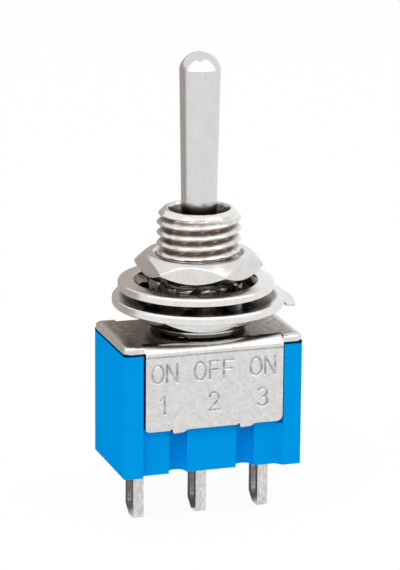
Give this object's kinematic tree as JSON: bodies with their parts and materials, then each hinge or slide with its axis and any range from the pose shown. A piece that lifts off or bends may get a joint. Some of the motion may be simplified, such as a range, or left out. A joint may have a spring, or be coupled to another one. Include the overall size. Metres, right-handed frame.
{
  "type": "toggle switch",
  "caption": "Panel toggle switch: lever in a threaded bushing with nuts, lock washer and locating ring, on a case with solder lugs.",
  "frame": {"origin": "where the bushing's axis meets the top face of the cover plate", "axes": "+Z along the bushing's axis towards the lever's tip; X along the row of lugs, the way the lever swings; the locating ring's tab is at +X and its key at +Y"},
  "size_m": [0.0135, 0.0122, 0.0336],
  "materials": {
    "case_plastic": "moulded, satin",
    "nickel_steel": "bright nickel on stamped steel",
    "nickel_brass": "bright nickel on turned brass",
    "nickel_nut": "bright nickel on turned brass",
    "nickel_lever": "bright nickel on turned brass",
    "plain_steel": "drawn wire",
    "plunger_plastic": "moulded",
    "contact_silver": "silver plated",
    "tinned_brass": "tin plated, satin",
    "seal_resin": "cast resin"
  },
  "bodies": {
    "switch_body": {"case": "case_plastic", "cover_plate": "nickel_steel", "bushing": "nickel_brass", "lower_nut": "nickel_nut", "locating_ring": "nickel_steel", "lock_washer": "nickel_steel", "upper_nut": "nickel_nut", "left_fixed_contact": "contact_silver", "right_fixed_contact": "contact_silver", "left_terminal": "tinned_brass", "centre_terminal": "tinned_brass", "right_terminal": "tinned_brass", "left_seal": "seal_resin", "centre_seal": "seal_resin", "right_seal": "seal_resin"},
    "lever": {"lever": "nickel_lever", "pivot_pin": "plain_steel", "plunger_spring": "plain_steel"},
    "plunger": {"plunger": "plunger_plastic"},
    "rocker": {"rocker": "contact_silver", "left_rocker_contact": "contact_silver", "right_rocker_contact": "contact_silver"}
  },
  "joints": [
    {"name": "lever_tilt", "type": "hinge", "parent": "switch_body", "child": "lever", "pos_m": [0, 0, 0.0049], "axis": [0, 1, 0], "range_deg": [-12.5, 12.5]},
    {"name": "plunger_slide", "type": "slide", "parent": "lever", "child": "plunger", "axis": [0, 0, 1], "range_m": [0, 0.0008], "stiffness_N_per_m": 300, "springref_m": -0.001, "deforming": ["plunger_spring"]},
    {"name": "rocker_tilt", "type": "hinge", "parent": "switch_body", "child": "rocker", "pos_m": [0, 0, -0.00682], "axis": [0, 1, 0], "range_deg": [-6.3, 6.3]}
  ],
  "couplings": [
    {"joint": "rocker_tilt", "follows": "lever_tilt", "ratio": -0.5}
  ]
}
